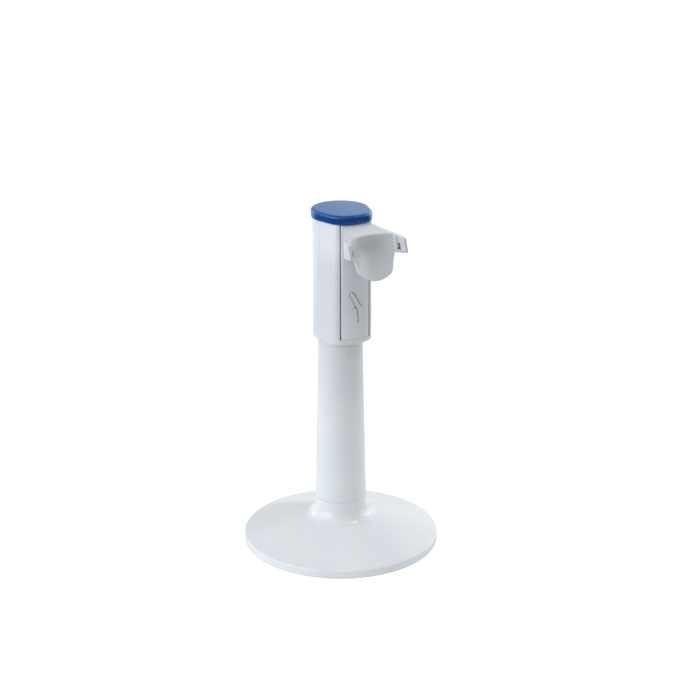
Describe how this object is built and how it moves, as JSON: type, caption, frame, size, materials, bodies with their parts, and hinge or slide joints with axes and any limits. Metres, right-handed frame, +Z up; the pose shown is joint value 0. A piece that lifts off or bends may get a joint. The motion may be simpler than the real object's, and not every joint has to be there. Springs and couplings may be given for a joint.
{
  "type": "pipette charging stand",
  "caption": "Desktop charging stand for an electronic pipette: round weighted base, tapered column and a head whose removable shell carries a flared cradle with sprung contacts.",
  "frame": {"origin": "centre of the round base, on the table", "axes": "+Z up along the column, the arm and its cradle point to -Y, +X to the right of someone who stands behind the head and looks at the arm's back"},
  "size_m": [0.16, 0.16, 0.283],
  "materials": {
    "white_plastic": "smooth moulded plastic with a soft sheen",
    "grey_plastic": "plain moulded plastic",
    "blue_plastic": "polished moulded plastic",
    "black_plastic": "plain moulded plastic",
    "ballast_iron": "as cast",
    "foot_rubber": "soft matt rubber",
    "screw_steel": "zinc plated",
    "board_laminate": "green solder mask",
    "lead_sleeve": "soft sleeve",
    "contact_metal": "darkened nickel, smooth"
  },
  "bodies": {
    "stand": {"base_shell": "white_plastic", "base_plate": "grey_plastic", "base_ballast": "ballast_iron", "foot_1": "foot_rubber", "foot_2": "foot_rubber", "foot_3": "foot_rubber", "foot_4": "foot_rubber", "base_screw_1": "screw_steel", "base_screw_2": "screw_steel", "base_screw_3": "screw_steel", "base_screw_4": "screw_steel", "column_tube": "white_plastic", "column_ring": "white_plastic", "clamp_bolt": "screw_steel", "clamp_washer": "screw_steel", "clamp_nut": "screw_steel", "head_housing": "white_plastic", "head_cap": "blue_plastic", "cap_seat": "white_plastic", "cap_clip": "screw_steel", "circuit_board": "board_laminate", "board_screw_1": "screw_steel", "board_screw_2": "screw_steel", "board_connector": "black_plastic", "dc_socket": "black_plastic"},
    "charging_shell": {"front_panel": "white_plastic", "cradle_arm": "white_plastic", "arm_cover": "white_plastic", "arm_screw_1": "screw_steel", "arm_screw_2": "screw_steel", "shell_plug": "black_plastic", "lead_left": "lead_sleeve", "lead_right": "lead_sleeve"},
    "contact_left": {"contact_left": "contact_metal"},
    "contact_right": {"contact_right": "contact_metal"}
  },
  "joints": [
    {"name": "shell_pull", "type": "slide", "parent": "stand", "child": "charging_shell", "axis": [0, -1, 0], "range_m": [0, 0.03]},
    {"name": "contact_left_press", "type": "slide", "parent": "charging_shell", "child": "contact_left", "axis": [-0.866, 0.5, 0], "range_m": [0, 0.0009], "stiffness_N_per_m": 400},
    {"name": "contact_right_press", "type": "slide", "parent": "charging_shell", "child": "contact_right", "axis": [0.866, 0.5, 0], "range_m": [0, 0.0009], "stiffness_N_per_m": 400}
  ]
}
